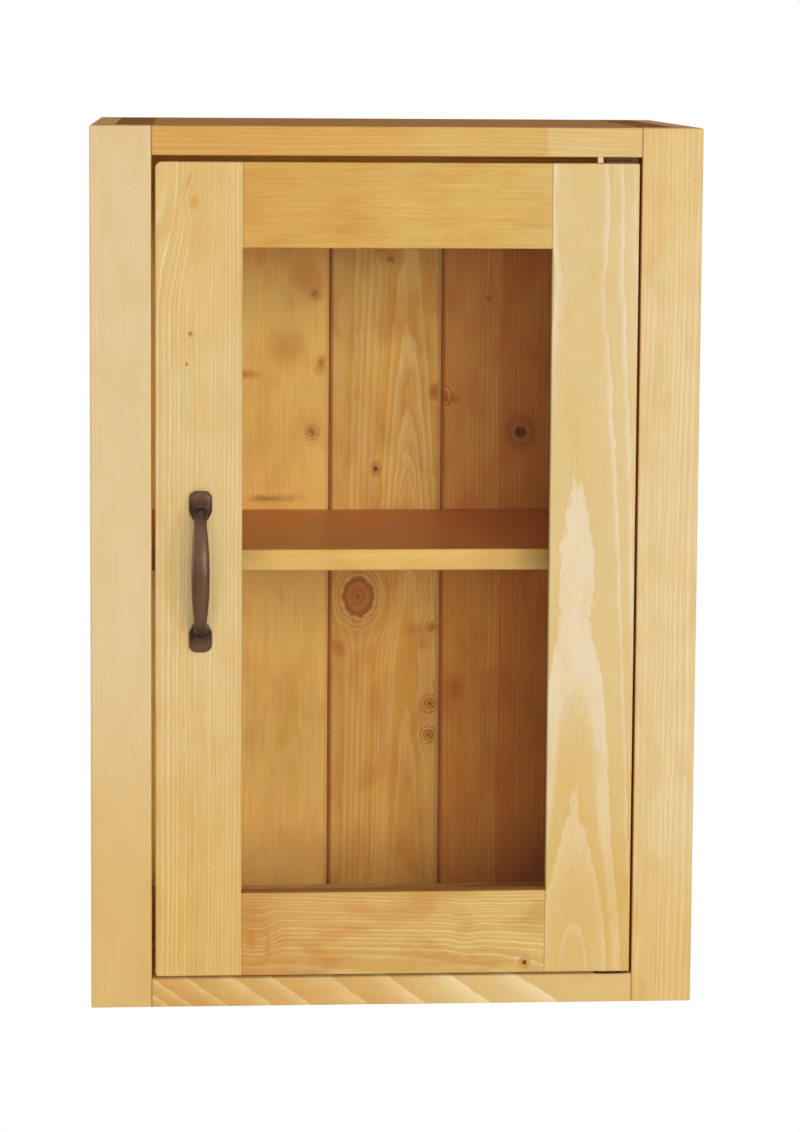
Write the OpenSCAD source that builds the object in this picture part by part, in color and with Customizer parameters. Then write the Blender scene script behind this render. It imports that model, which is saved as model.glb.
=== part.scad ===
/* [Cabinet] */
// Width over the side panels
cab_w = 500; // [430:5:640]
// Height from the underside to the top face
cab_h = 730; // [600:5:900]
// Depth from the wall to the face of the front frame
cab_d = 310; // [240:5:400]
// Thickness of a side panel
side_t = 20; // [17:1:24]
// Thickness of the top and bottom panels
panel_t = 24; // [18:1:30]
// Width of a front stile, seen from the front
stile_w = 50; // [40:1:64]
// Thickness of a front stile
stile_t = 22; // [18:1:28]
// Radius of the eased edges
edge_r = 1.5; // [1:0.25:2.5]
// Thickness of the tongue that joins a side panel to its stile
tongue_t = 6; // [4:0.5:8]
// Length of that tongue
tongue_l = 6; // [4:0.5:8]

/* [Back] */
// Thickness of a back board
board_t = 12; // [10:0.5:15]
// Width that each of the three middle boards covers
board_cover = 102.5; // [90:0.5:108]
// How far the middle board's centre sits to the right of the cabinet's
board_shift = 8.25; // [0:0.25:12]
// Width of the bevel on a board's edge
board_bevel = 3.5; // [2:0.25:4.5]
// Gap between two boards
board_gap = 0.5; // [0.3:0.1:0.8]
// Length of a board's tongue
board_tongue_l = 5; // [4:0.5:6]
// Thickness of a board's tongue
board_tongue_t = 3.5; // [3:0.25:4]
// Width of the rebate in a side panel that the boards close
back_rebate = 10; // [7:1:12]
// Thickness of the hanging rail
rail_t = 18; // [15:1:22]
// Height of the hanging rail
rail_h = 60; // [50:1:80]
// Distance between the two wall screws
wall_screw_pitch = 220; // [180:5:260]
// Diameter of a wall screw's hole
wall_screw_hole = 6; // [5:0.5:8]

/* [Door] */
// Gap above the door
gap_top = 5; // [3:0.5:6]
// Gap below the door
gap_bottom = 2; // [1.5:0.25:4]
// Gap at the handle side
gap_latch = 3; // [2:0.25:4]
// Gap at the hinge side
gap_hinge = 2; // [1.5:0.25:3]
// Thickness of the door
door_t = 22; // [20:1:26]
// Width of a door stile
door_stile_w = 71; // [60:1:85]
// Height of a door rail
door_rail_w = 70; // [60:1:90]
// Rounding of the door's upper corner at the handle side
corner_top_r = 6.5; // [3:0.5:10]
// Rounding of its lower corner at the handle side
corner_bottom_r = 3.5; // [2:0.5:10]
// Thickness of the lip in front of the glass
lip_t = 8; // [6:0.5:9]
// Width of the rebate that holds the glass
rebate_w = 10; // [8:0.5:12]
// Thickness of the glass
glass_t = 4; // [3:0.5:5]
// Room between the glass and the rebate, on each side
glass_clear = 1; // [0.5:0.25:1.5]
// Width of a glazing bead
bead_w = 9; // [6:0.5:9.5]
// Rounding of a bead's free edge
bead_r = 4; // [2:0.5:5]

/* [Shelf] */
// Thickness of the shelf
shelf_t = 18; // [16:1:24]
// Height of the shelf's middle above the middle of the inside
shelf_raise = 0; // [-64:1:64]
// Distance from the cabinet's front to the shelf's front edge
shelf_setback = 62; // [50:1:100]
// Room between the shelf and the walls round it
shelf_clear = 1; // [0.5:0.25:2]
// Diameter of a support's hole
support_hole_d = 5; // [4:0.5:6]
// Vertical distance between two support holes
support_pitch = 64; // [32:8:96]
// Distance of a row of support holes from the shelf's front or back edge
support_inset = 35; // [25:1:60]

/* [Handle] */
// Length over both feet
handle_l = 134; // [120:1:160]
// Distance between the two handle screws
handle_pitch = 96; // [80:4:112]
// How far the handle stands out of the door
handle_proj = 28; // [25:1:36]
// Width of the grip in its middle
grip_w = 15.2; // [12:0.2:18]
// Depth of the grip in its middle
grip_d = 10; // [8:0.5:12]
// Width of the grip at its necks
neck_w = 10.4; // [8:0.2:12]
// Width of a foot
foot_w = 19; // [17:0.5:24]
// Height of a foot
foot_h = 24; // [20:0.5:28]
// Thickness of a foot
foot_t = 6; // [5:0.5:8]
// Distance from the door's edge to the middle of the handle
handle_inset = 37; // [25:1:45]
// Height of the handle's middle above the door's middle
handle_raise = 2; // [-60:1:60]

/* [Hinges] */
// Distance of the pivot from the door's face and from its edge
pivot_in = 4.5; // [4:0.1:4.8]
// Diameter of the pivot pin
pivot_d = 4; // [3:0.25:4]
// Running clearance round the pin, on the radius
pivot_clear = 0.05; // [0.03:0.01:0.1]
// Thickness of a hinge leaf
leaf_t = 2; // [1.5:0.25:2.5]
// Length of a hinge leaf
leaf_l = 28; // [26:1:40]
// Least thickness of the washer between the leaves
washer_t = 0.9; // [0.5:0.1:1.5]
// Free play between the washer and the door's leaf
hinge_play = 0.1; // [0.05:0.05:0.3]
// Width of the block above the door that keeps it on its pivots
stop_w = 5; // [4:0.5:8]
// Clearance between that block and the door
stop_play = 0.3; // [0.2:0.05:0.6]

/* [Catch] */
// Length of the catch housing's body
catch_l = 30; // [28:1:40]
// Depth of the catch housing
catch_d = 14; // [12:1:18]
// Height of the catch housing
catch_h = 13; // [12:1:16]
// Distance from the door's edge to the middle of the catch
catch_inset = 37; // [34:1:50]
// Thickness of the strike plate
strike_t = 1.5; // [1:0.25:2]
// Gap between the strike plate and the poles of the closed catch
catch_play = 0.1; // [0.05:0.05:0.3]

/* [Fasteners] */
// Diameter of a dowel
dowel_d = 8; // [6:0.5:8]
// Length of a dowel
dowel_l = 35; // [28:1:40]
// Depth of a dowel in a side panel or in the end of a front edge
dowel_seat = 12; // [9:0.5:13]
// Diameter of a back nail's shank
nail_d = 1.8; // [1.4:0.1:2.2]
// Length of a back nail
nail_l = 32; // [26:1:38]
// Diameter of the shank of a small wood screw
screw_d = 2.4; // [2:0.1:3]
// Diameter of the countersunk head of a small wood screw
screw_head_d = 4.6; // [4:0.1:5]
// Length of a small wood screw
screw_l = 14; // [10:1:18]
// Diameter of a handle screw
handle_screw_d = 4; // [3:0.5:5]

/* [Hidden] */
$fn = 48;

// How far a cut runs past the face that it opens
over = 1;
// Glue room round a dowel, a tongue or a fastener, on each side
fit = 0.05;
// Room left past the end of a dowel, a tongue or a screw
end_room = 0.5;

// Colours
pine = "#DDB670";
pine_door = "#E2BE78";
pine_back = "#B98545";
pine_shelf = "#C08748";
bronze = "#5A4236";
steel = "#B9BBBD";
housing_brown = "#6A4A32";
magnet_grey = "#3A3A3C";
nylon = "#EADFC8";
glass_tint = [0.85, 0.92, 0.9, 0.3];

// The carcass's inner faces and the front opening
in_x = cab_w/2 - side_t;
open_x = cab_w/2 - stile_w;
front_y = -cab_d;
stile_back_y = front_y + stile_t;
back_y = -board_t;
top_z = cab_h - panel_t;
panel_mid_z = [panel_t/2, cab_h - panel_t/2];
// How far the stile's tongue stops short of the top and the bottom
tongue_stop = 15;

// The back boards: the two outer ones reach the rebates in the side panels
rebate_x = in_x + back_rebate;
board_x = [-rebate_x,
    for (i = [-3:2:3]) board_shift + i*board_cover/2,
    rebate_x];
board_count = len(board_x) - 1;
// A tongue lies in the middle of what the bevel leaves of the edge
board_tongue_y = -(board_t - board_bevel)/2;
rail_mid_z = top_z - rail_h/2;
wall_hole_x = [-wall_screw_pitch/2, wall_screw_pitch/2];
// Distance of a nail from the edge of its board
nail_inset = 20;
nail_head_d = 3.6;
nail_head_t = 0.8;
// How far a nail's head lies below the board's face
nail_sink = 0.3;

// Dowels: each is given by the middle of its left end, and lies along +X
dowel_margin = 45;
rail_dowel_pitch = 28;
dowel_chamfer = 1;
dowel_y = [for (i = [0:2]) stile_back_y + dowel_margin
    + i*(back_y - rail_t - stile_back_y - 2*dowel_margin)/2];
side_dowels = [for (z = panel_mid_z, y = dowel_y) [-in_x - dowel_seat, y, z]];
rail_dowels = [for (k = [-1, 1])
    [-in_x - dowel_seat, back_y - rail_t/2, rail_mid_z + k*rail_dowel_pitch/2]];
stile_dowels = [for (z = panel_mid_z)
    [-open_x - dowel_l + dowel_seat, front_y + stile_t/2, z]];

// The door and its glass opening
door_x0 = -open_x + gap_latch;
door_x1 = open_x - gap_hinge;
door_w = door_x1 - door_x0;
door_z0 = panel_t + gap_bottom;
door_z1 = top_z - gap_top;
door_h = door_z1 - door_z0;
door_back_y = front_y + door_t;
sight_x0 = door_x0 + door_stile_w;
sight_x1 = door_x1 - door_stile_w;
sight_z0 = door_z0 + door_rail_w;
sight_z1 = door_z1 - door_rail_w;
sight_w = sight_x1 - sight_x0;
sight_h = sight_z1 - sight_z0;
glass_y = front_y + lip_t;
bead_y = glass_y + glass_t;
bead_d = door_back_y - bead_y;
door_dowel_pitch = 34;
door_dowels_at = [for (z = [door_z0 + door_rail_w/2, door_z1 - door_rail_w/2], k = [-1, 1],
    x = [sight_x0, sight_x1]) [x - dowel_l/2, front_y + door_t/2, z + k*door_dowel_pitch/2]];
// Brads: through a bead into the frame behind it
brad_d = 1.2;
brad_l = 16;
brad_end = 45;

// The shelf
shelf_z = (panel_t + top_z)/2 + shelf_raise - shelf_t/2;
shelf_y0 = front_y + shelf_setback;
shelf_y1 = back_y - shelf_clear;
// A support: a stem in the side panel, a plate on its face and a tab under the shelf
support_w = 10;
support_plate_t = 1.5;
support_plate_h = 14;
support_tab_l = 9;
support_tab_t = 2;
support_stem_l = 9;
support_y = [shelf_y0 + support_inset, shelf_y1 - support_inset];
support_stem_z = shelf_z - support_plate_h/2;

// The handle
handle_x = door_x0 + handle_inset;
handle_z = (door_z0 + door_z1)/2 + handle_raise;
foot_corner_r = 7;
foot_crown_r = 4.5;
// A foot narrows towards its neck, over this length and down to this width
foot_taper_l = 7;
foot_neck_w = foot_w - 4;
// The grip's middle line is half an ellipse that starts inside the feet
bow_root = foot_t/2;
bow_half = handle_pitch/2 + 2;
bow_rise = handle_proj - grip_d/2 - bow_root;
neck_d = 8.4;
// Where the grip is narrowest, and the width that it flares to at its root
neck_z = 0.8*bow_half;
root_w = foot_w - 7;
grip_rings = 30;
grip_sides = 20;
handle_bore_l = 11;
handle_screw_head_d = 8;
handle_screw_head_h = 2.5;

// The hinges
pivot_x = door_x1 - pivot_in;
pivot_y = front_y + pivot_in;
// Distance from a leaf's long edge to the door's face
leaf_inset = 1;
leaf_w = 2*(pivot_in - leaf_inset);
leaf_run = leaf_l - leaf_w;
leaf_screw_x = [-leaf_w/2 - screw_head_d/2 - 2, -leaf_run + 2];
// The washer fills what a wide gap leaves between the leaves
function washer_h(gap) = max(washer_t, gap - 2*leaf_t - hinge_play);
function stack_h(gap) = 2*leaf_t + washer_h(gap) + hinge_play;

// The lift stop, beside the free end of the upper frame leaf
stop_gap = 0.8;
stop_x = pivot_x - leaf_run - leaf_w/2 - stop_gap - stop_w/2;
stop_h = gap_top - stop_play;
stop_stem_d = 3.5;
stop_stem_l = 10;

// The catch, on the bottom panel behind the door's handle side
catch_x = door_x0 + catch_inset;
catch_y = door_back_y + strike_t + catch_play;
catch_z = panel_t;
catch_ear = 9;
catch_ear_t = 3;
// The poles stand a little out of the housing, towards the door
pole_out = 1;
pole_t = 1.5;
magnet_l = 22;
magnet_h = 5;
magnet_d = catch_d - 4;
pole_z = catch_z + catch_h/2;
strike_l = 36;
strike_h = 10;
strike_screw_x = [-13.5, 13.5];

// Rounding cut: what a rounding of radius r takes off a corner at the origin
module corner_cut(r) {
    difference() {
        translate([-over, -over]) square(r + over);
        translate([r, r]) circle(r);
    }
}

// Rectangle from the origin, with a radius for each corner, counted from the origin round
module eased_square(size, radii) {
    corners = [[0, 0], [size.x, 0], size, [0, size.y]];
    difference() {
        square(size);
        for (i = [0:3]) {
            if (radii[i] > 0) translate(corners[i]) rotate(90*i) corner_cut(radii[i]);
        }
    }
}

// Block from the origin with eased edges. Each list gives the four edges that run one way:
// upright ones along Z, lying ones along X, and those that run from front to back along Y.
module eased_block(size, upright = [0, 0, 0, 0], lying = [0, 0, 0, 0], through = [0, 0, 0, 0]) {
    intersection() {
        linear_extrude(size.z) eased_square([size.x, size.y], upright);
        if (max(lying) > 0) {
            rotate([90, 0, 90]) linear_extrude(size.x) eased_square([size.y, size.z], lying);
        }
        if (max(through) > 0) {
            translate([0, size.y, 0]) rotate([90, 0, 0])
                linear_extrude(size.y) eased_square([size.x, size.z], through);
        }
    }
}

module both_sides() {
    children();
    mirror([1, 0, 0]) children();
}

// Fluted beech dowels, drawn plain, with their ends chamfered
module dowels(points) {
    r = dowel_d/2;
    c = dowel_chamfer;
    for (p = points) translate(p) rotate([0, 90, 0]) rotate_extrude()
        polygon([[0, 0], [r - c, 0], [r, c], [r, dowel_l - c], [r - c, dowel_l], [0, dowel_l]]);
}

module dowel_bores(points) {
    for (p = points) translate([p.x - end_room, p.y, p.z]) rotate([0, 90, 0])
        cylinder(d = dowel_d + 2*fit, h = dowel_l + 2*end_room);
}

// Countersunk wood screw: its head is flush with the plane z = 0 and it points down
module wood_screw() {
    head_r = screw_head_d/2;
    r = screw_d/2;
    rotate_extrude() polygon([[0, 0], [head_r, 0], [r, r - head_r], [r, 2*r - screw_l],
        [0, -screw_l]]);
}

module wood_screw_bore() {
    head_r = screw_head_d/2 + fit;
    r = screw_d/2 + fit;
    rotate_extrude() polygon([[0, over], [head_r, over], [head_r, 0], [r, r - head_r],
        [r, -screw_l - end_room], [0, -screw_l - end_room]]);
}

// Nail driven from the wall side into the cabinet, along -Y
module nail(room = 0) {
    translate([0, -nail_sink, 0]) rotate([90, 0, 0]) {
        cylinder(d = nail_head_d + 2*room, h = nail_head_t);
        cylinder(d = nail_d + 2*room, h = nail_l + (room > 0 ? end_room : 0));
        if (room > 0) translate([0, 0, -nail_sink - over])
            cylinder(d = nail_head_d + 2*room, h = nail_sink + over + nail_head_t);
    }
}

// Two nails at each end of board i, into the edges of the top and bottom panels
module board_nails(i, room = 0) {
    for (x = [board_x[i] + nail_inset, board_x[i + 1] - nail_inset], z = panel_mid_z)
        translate([x, 0, z]) nail(room);
}

module all_nail_bores() {
    for (i = [0:board_count - 1]) board_nails(i, fit);
}

module wall_holes() {
    for (x = wall_hole_x) translate([x, over, rail_mid_z]) rotate([90, 0, 0])
        cylinder(d = wall_screw_hole, h = board_t + rail_t + 2*over);
}

// Carcass

module side_panel() {
    stile_tongue_x = -cab_w/2 + (side_t - tongue_t)/2;
    color(pine) difference() {
        union() {
            translate([-cab_w/2, stile_back_y, 0])
                eased_block([side_t, -stile_back_y, cab_h], through = [edge_r, 0, 0, edge_r]);
            translate([stile_tongue_x, stile_back_y - tongue_l, tongue_stop])
                cube([tongue_t, tongue_l + over, cab_h - 2*tongue_stop]);
        }
        translate([-rebate_x, back_y, -over]) cube([back_rebate + over, board_t + over, cab_h + 2*over]);
        dowel_bores(concat(side_dowels, rail_dowels));
        for (y = support_y, k = [-1:1])
            translate([-in_x + over, y, support_stem_z + k*support_pitch]) rotate([0, -90, 0])
                cylinder(d = support_hole_d, h = support_stem_l + end_room + over);
    }
}

module front_stile() {
    color(pine) difference() {
        translate([-cab_w/2, front_y, 0]) eased_block([stile_w, stile_t, cab_h],
            upright = [edge_r, edge_r, 0, 0], lying = [edge_r, 0, 0, edge_r],
            through = [edge_r, 0, 0, edge_r]);
        translate([-cab_w/2 + (side_t - tongue_t)/2 - fit, stile_back_y - tongue_l - end_room,
            tongue_stop - end_room])
            cube([tongue_t + 2*fit, tongue_l + end_room + over, cab_h - 2*tongue_stop + 2*end_room]);
        dowel_bores(stile_dowels);
    }
}

module side_panel_left() {
    side_panel();
}

module side_panel_right() {
    mirror([1, 0, 0]) side_panel();
}

module front_stile_left() {
    front_stile();
}

module front_stile_right() {
    mirror([1, 0, 0]) front_stile();
}

// Top or bottom panel: it lies between the side panels, and its front edge fills the opening
module carcass_panel(z, lying) {
    difference() {
        union() {
            translate([-open_x, front_y, z])
                eased_block([2*open_x, stile_t + over, panel_t], lying = lying);
            translate([-in_x, stile_back_y, z]) cube([2*in_x, back_y - stile_back_y, panel_t]);
        }
        both_sides() dowel_bores(concat(side_dowels, stile_dowels));
        all_nail_bores();
    }
}

module top_panel() {
    color(pine) difference() {
        carcass_panel(top_z, [edge_r, 0, 0, edge_r]);
        at_hinge(true) frame_leaf_cut(gap_top);
        translate([stop_x, pivot_y, top_z - over])
            cylinder(d = stop_stem_d + 2*fit, h = stop_stem_l + end_room + over);
    }
}

module bottom_panel() {
    color(pine) difference() {
        carcass_panel(0, [edge_r, 0, 0, edge_r]);
        at_hinge(false) frame_leaf_cut(gap_bottom);
        catch_screw_places() wood_screw_bore();
    }
}

module hanging_rail() {
    color(pine_back) difference() {
        translate([-in_x, back_y - rail_t, top_z - rail_h])
            eased_block([2*in_x, rail_t, rail_h], lying = [edge_r, 0, 0, 0]);
        both_sides() dowel_bores(rail_dowels);
        wall_holes();
    }
}

module carcass_dowels() {
    color(pine_door) both_sides() dowels(concat(side_dowels, rail_dowels, stile_dowels));
}

// Back board with a groove at its left edge and a tongue at its right one
module back_board(i) {
    first = i == 0;
    last = i == board_count - 1;
    x0 = board_x[i] + (first ? 0 : board_gap/2);
    x1 = board_x[i + 1] - (last ? 0 : board_gap/2);
    b0 = first ? 0 : board_bevel;
    b1 = last ? 0 : board_bevel;
    groove_t = board_tongue_t/2 + 2*fit;
    groove_x = x0 + board_tongue_l + end_room;
    left_edge = first ? [[x0, 0], [x0, -board_t]]
        : [[x0, 0], [x0, board_tongue_y + groove_t], [groove_x, board_tongue_y + groove_t],
            [groove_x, board_tongue_y - groove_t], [x0, board_tongue_y - groove_t],
            [x0, b0 - board_t], [x0 + b0, -board_t]];
    right_edge = last ? [[x1, -board_t], [x1, 0]]
        : [[x1 - b1, -board_t], [x1, b1 - board_t], [x1, board_tongue_y - board_tongue_t/2],
            [x1 + board_tongue_l, board_tongue_y - board_tongue_t/2],
            [x1 + board_tongue_l, board_tongue_y + board_tongue_t/2],
            [x1, board_tongue_y + board_tongue_t/2], [x1, 0]];
    color(pine_back) difference() {
        linear_extrude(cab_h) polygon(concat(left_edge, right_edge));
        board_nails(i, fit);
        wall_holes();
    }
}

module back_nails() {
    color(steel) for (i = [0:board_count - 1]) board_nails(i);
}

// Door

// The rebate that the glass and its beads lie in, cut from the back of the door
module glass_rebate() {
    translate([sight_x0 - rebate_w, glass_y, sight_z0 - rebate_w])
        cube([sight_w + 2*rebate_w, door_t, sight_h + 2*rebate_w]);
}

// Eased front edges of the glass opening, on the two stiles
module sight_edges() {
    for (k = [0, 1]) translate([k == 0 ? sight_x0 : sight_x1, front_y, sight_z0])
        linear_extrude(sight_h) rotate(k == 0 ? 90 : 0) corner_cut(edge_r);
}

module door_stile_latch() {
    color(pine_door) difference() {
        translate([door_x0, front_y, door_z0]) eased_block([door_stile_w, door_t, door_h],
            upright = [edge_r, 0, 0, edge_r], lying = [edge_r, edge_r, edge_r, edge_r],
            through = [corner_bottom_r, 0, 0, corner_top_r]);
        glass_rebate();
        sight_edges();
        dowel_bores(door_dowels_at);
        handle_screw_places() cylinder(d = handle_screw_d + 2*end_room, h = door_t + 2*over);
        brad_places(sides = true) brad(fit);
        strike_screw_places() wood_screw_bore();
    }
}

module door_stile_hinge() {
    color(pine_door) difference() {
        translate([sight_x1, front_y, door_z0]) eased_block([door_stile_w, door_t, door_h],
            upright = [0, edge_r, edge_r, 0], lying = [edge_r, edge_r, edge_r, edge_r],
            through = [0, edge_r, edge_r, 0]);
        glass_rebate();
        sight_edges();
        dowel_bores(door_dowels_at);
        brad_places(sides = true) brad(fit);
        at_hinge(true) door_leaf_cut(gap_top);
        at_hinge(false) door_leaf_cut(gap_bottom);
    }
}

module door_rail(z, lying) {
    color(pine_door) difference() {
        translate([sight_x0, front_y, z]) eased_block([sight_w, door_t, door_rail_w], lying = lying);
        glass_rebate();
        dowel_bores(door_dowels_at);
        brad_places(sides = false) brad(fit);
    }
}

module door_rail_top() {
    door_rail(sight_z1, [edge_r, 0, edge_r, edge_r]);
}

module door_rail_bottom() {
    door_rail(door_z0, [edge_r, edge_r, 0, edge_r]);
}

module door_dowels() {
    color(pine) dowels(door_dowels_at);
}

module glass_pane() {
    room = rebate_w - glass_clear;
    color(glass_tint) translate([sight_x0 - room, glass_y, sight_z0 - room])
        cube([sight_w + 2*room, glass_t, sight_h + 2*room]);
}

// Bead along the bottom of an opening of the given width, mitred at both ends.
// It lies in the rebate behind the glass, with its free edge rounded.
module bead(length) {
    intersection() {
        rotate([90, 0, 90]) linear_extrude(length) eased_square([bead_d, bead_w], [0, 0, bead_r, 0]);
        translate([0, bead_d, 0]) rotate([90, 0, 0]) linear_extrude(bead_d)
            polygon([[0, 0], [length, 0], [length - bead_w, bead_w], [bead_w, bead_w]]);
    }
}

// Sizes and places of the rebate that the beads run round
bead_room_x = sight_w + 2*rebate_w;
bead_room_z = sight_h + 2*rebate_w;
bead_mid = [(sight_x0 + sight_x1)/2, bead_y, (sight_z0 + sight_z1)/2];

// Each bead with its brads bored, turned about the opening's middle
module bead_at(turn, length, drop, sides) {
    color(pine_door) difference() {
        translate(bead_mid) rotate([0, turn, 0]) translate([-length/2, 0, -drop/2]) bead(length);
        brad_places(sides = sides) brad(fit);
    }
}

module bead_bottom() {
    bead_at(0, bead_room_x, bead_room_z, false);
}

module bead_latch() {
    bead_at(90, bead_room_z, bead_room_x, true);
}

module bead_top() {
    bead_at(180, bead_room_x, bead_room_z, false);
}

module bead_hinge() {
    bead_at(270, bead_room_z, bead_room_x, true);
}

// Brad that points along +Z, its head flush with the bead's free face
module brad(room = 0) {
    translate([0, 0, -(room > 0 ? over : 0)])
        cylinder(d = brad_d + 2*room, h = brad_l + (room > 0 ? over + end_room : 0));
}

module brad_places(sides) {
    free_x = bead_room_x/2 - bead_w;
    free_z = bead_room_z/2 - bead_w;
    translate([bead_mid.x, bead_y + (bead_d - bead_r)/2, bead_mid.z]) {
        if (sides) {
            for (s = [-1, 1], k = [-1:1])
                translate([s*free_x, 0, k*(bead_room_z/2 - brad_end)]) rotate([0, s*90, 0]) children();
        } else {
            for (s = [-1, 1], k = [-1, 1])
                translate([k*(bead_room_x/2 - brad_end), 0, s*free_z])
                    rotate([0, s > 0 ? 0 : 180, 0]) children();
        }
    }
}

module bead_brads() {
    color(steel) {
        brad_places(sides = true) brad();
        brad_places(sides = false) brad();
    }
}

// Handle

// Point of the grip's middle line, at angle a from its middle, as distance out and height
function bow(a) = [bow_root + bow_rise*cos(a), bow_half*sin(a)];
// Direction square to that line, pointing away from the door
function bow_normal(a) = let (v = [bow_half*cos(a), bow_rise*sin(a)]) v/norm(v);
// Half widths of the grip at height z: it swells in the middle and flares at its roots
function grip_swell(z) = 1 - pow(min(abs(z)/neck_z, 1), 2);
function grip_flare(z) = pow(max(abs(z) - neck_z, 0)/(bow_half - neck_z), 2);
function grip_half_w(z) = (neck_w + (grip_w - neck_w)*grip_swell(z) + (root_w - neck_w)*grip_flare(z))/2;
function grip_half_d(z) = (neck_d + (grip_d - neck_d)*grip_swell(z))/2;
function grip_ring(a) = let (p = bow(a), n = bow_normal(a), w = grip_half_w(p[1]), d = grip_half_d(p[1]))
    [for (k = [0:grip_sides - 1]) let (f = 360*k/grip_sides)
        [w*cos(f), -p[0] - d*sin(f)*n[0], p[1] + d*sin(f)*n[1]]];

module grip() {
    rings = [for (i = [0:grip_rings]) grip_ring(-90 + 180*i/grip_rings)];
    polyhedron(
        points = [for (ring = rings, p = ring) p],
        faces = concat(
            [[for (k = [grip_sides - 1:-1:0]) k]],
            [for (i = [0:grip_rings - 1], k = [0:grip_sides - 1]) let (m = (k + 1)%grip_sides)
                each [[i*grip_sides + k, (i + 1)*grip_sides + m, (i + 1)*grip_sides + k],
                    [i*grip_sides + k, i*grip_sides + m, (i + 1)*grip_sides + m]]],
            [[for (k = [0:grip_sides - 1]) grip_rings*grip_sides + k]]));
}

// Foot: a softly squared pad with a crowned face, at the upper end of the handle
module foot() {
    half = foot_w/2;
    neck_half = foot_neck_w/2;
    translate([0, 0, handle_l/2 - foot_h]) intersection() {
        translate([-half, -foot_t, 0]) eased_block([foot_w, foot_t, foot_h],
            upright = [foot_crown_r, foot_crown_r, 0, 0], lying = [0, 0, 0, foot_crown_r],
            through = [0, 0, foot_corner_r, foot_corner_r]);
        rotate([90, 0, 0]) linear_extrude(foot_t) polygon([[-neck_half, 0], [neck_half, 0],
            [half, foot_taper_l], [half, foot_h], [-half, foot_h], [-half, foot_taper_l]]);
    }
}

module handle() {
    color(bronze) translate([handle_x, front_y, handle_z]) difference() {
        union() {
            grip();
            foot();
            mirror([0, 0, 1]) foot();
        }
        for (k = [-1, 1]) translate([0, over, k*handle_pitch/2]) rotate([90, 0, 0])
            cylinder(d = handle_screw_d + 2*fit, h = handle_bore_l + over);
    }
}

// Places of the handle screws, at the back of the door and pointing to the front
module handle_screw_places() {
    for (k = [-1, 1]) translate([handle_x, door_back_y, handle_z + k*handle_pitch/2])
        rotate([90, 0, 0]) translate([0, 0, -over]) children();
}

module handle_screws() {
    color(steel) handle_screw_places() translate([0, 0, over]) {
        cylinder(d = handle_screw_d, h = door_t + handle_bore_l - end_room);
        difference() {
            translate([0, 0, -handle_screw_head_h])
                cylinder(d1 = handle_screw_head_d - 2, d2 = handle_screw_head_d, h = handle_screw_head_h);
            translate([-handle_screw_head_d/2, -0.5, -handle_screw_head_h - over])
                cube([handle_screw_head_d, 1, over + 1]);
        }
    }
}

// Hinges

// A hinge's own frame: the pivot's axis in the middle of the gap, with +Z towards the cabinet's panel
module at_hinge(top) {
    if (top) translate([pivot_x, pivot_y, (door_z1 + top_z)/2]) children();
    else translate([pivot_x, pivot_y, (door_z0 + panel_t)/2]) mirror([0, 0, 1]) children();
}

module leaf_outline(room, h) {
    r = leaf_w/2 + room;
    cylinder(r = r, h = h);
    translate([-leaf_run, 0, 0]) cylinder(r = r, h = h);
    translate([-leaf_run, -r, 0]) cube([leaf_run, 2*r, h]);
}

// Door leaf: bored for the pin, with its screws pointing into the door
module door_leaf(gap) {
    color(bronze) difference() {
        translate([0, 0, -stack_h(gap)/2]) leaf_outline(0, leaf_t);
        translate([0, 0, -stack_h(gap)/2 - over]) cylinder(d = pivot_d + 2*pivot_clear, h = leaf_t + 2*over);
        door_leaf_screws(gap) wood_screw_bore();
    }
}

module door_leaf_screws(gap) {
    for (x = leaf_screw_x) translate([x, 0, -stack_h(gap)/2 + leaf_t]) children();
}

// What a door leaf takes out of the door: its mortise and its screws' bores
module door_leaf_cut(gap) {
    translate([0, 0, -stack_h(gap)/2]) leaf_outline(fit, stack_h(gap));
    door_leaf_screws(gap) wood_screw_bore();
}

// Frame leaf: it carries the riveted pin, and its screws point into the cabinet's panel
module frame_leaf(gap) {
    color(bronze) difference() {
        union() {
            translate([0, 0, stack_h(gap)/2 - leaf_t]) leaf_outline(0, leaf_t);
            translate([0, 0, -stack_h(gap)/2 + hinge_play])
                cylinder(d = pivot_d, h = stack_h(gap) - hinge_play);
        }
        frame_leaf_screws(gap) wood_screw_bore();
    }
}

module frame_leaf_screws(gap) {
    for (x = leaf_screw_x) translate([x, 0, stack_h(gap)/2 - leaf_t]) mirror([0, 0, 1]) children();
}

module frame_leaf_cut(gap) {
    mirror([0, 0, 1]) translate([0, 0, -stack_h(gap)/2]) leaf_outline(fit, stack_h(gap));
    frame_leaf_screws(gap) wood_screw_bore();
}

module washer(gap) {
    color(steel) translate([0, 0, stack_h(gap)/2 - leaf_t - washer_h(gap)]) difference() {
        cylinder(d = leaf_w, h = washer_h(gap));
        translate([0, 0, -over]) cylinder(d = pivot_d + 2*pivot_clear, h = washer_h(gap) + 2*over);
    }
}

module top_hinge_door_leaf() {
    at_hinge(true) door_leaf(gap_top);
}

module bottom_hinge_door_leaf() {
    at_hinge(false) door_leaf(gap_bottom);
}

module top_hinge_frame_leaf() {
    at_hinge(true) frame_leaf(gap_top);
}

module bottom_hinge_frame_leaf() {
    at_hinge(false) frame_leaf(gap_bottom);
}

module hinge_door_screws() {
    color(steel) {
        at_hinge(true) door_leaf_screws(gap_top) wood_screw();
        at_hinge(false) door_leaf_screws(gap_bottom) wood_screw();
    }
}

module hinge_frame_screws() {
    color(steel) {
        at_hinge(true) frame_leaf_screws(gap_top) wood_screw();
        at_hinge(false) frame_leaf_screws(gap_bottom) wood_screw();
    }
}

module hinge_washers() {
    at_hinge(true) washer(gap_top);
    at_hinge(false) washer(gap_bottom);
}

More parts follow.
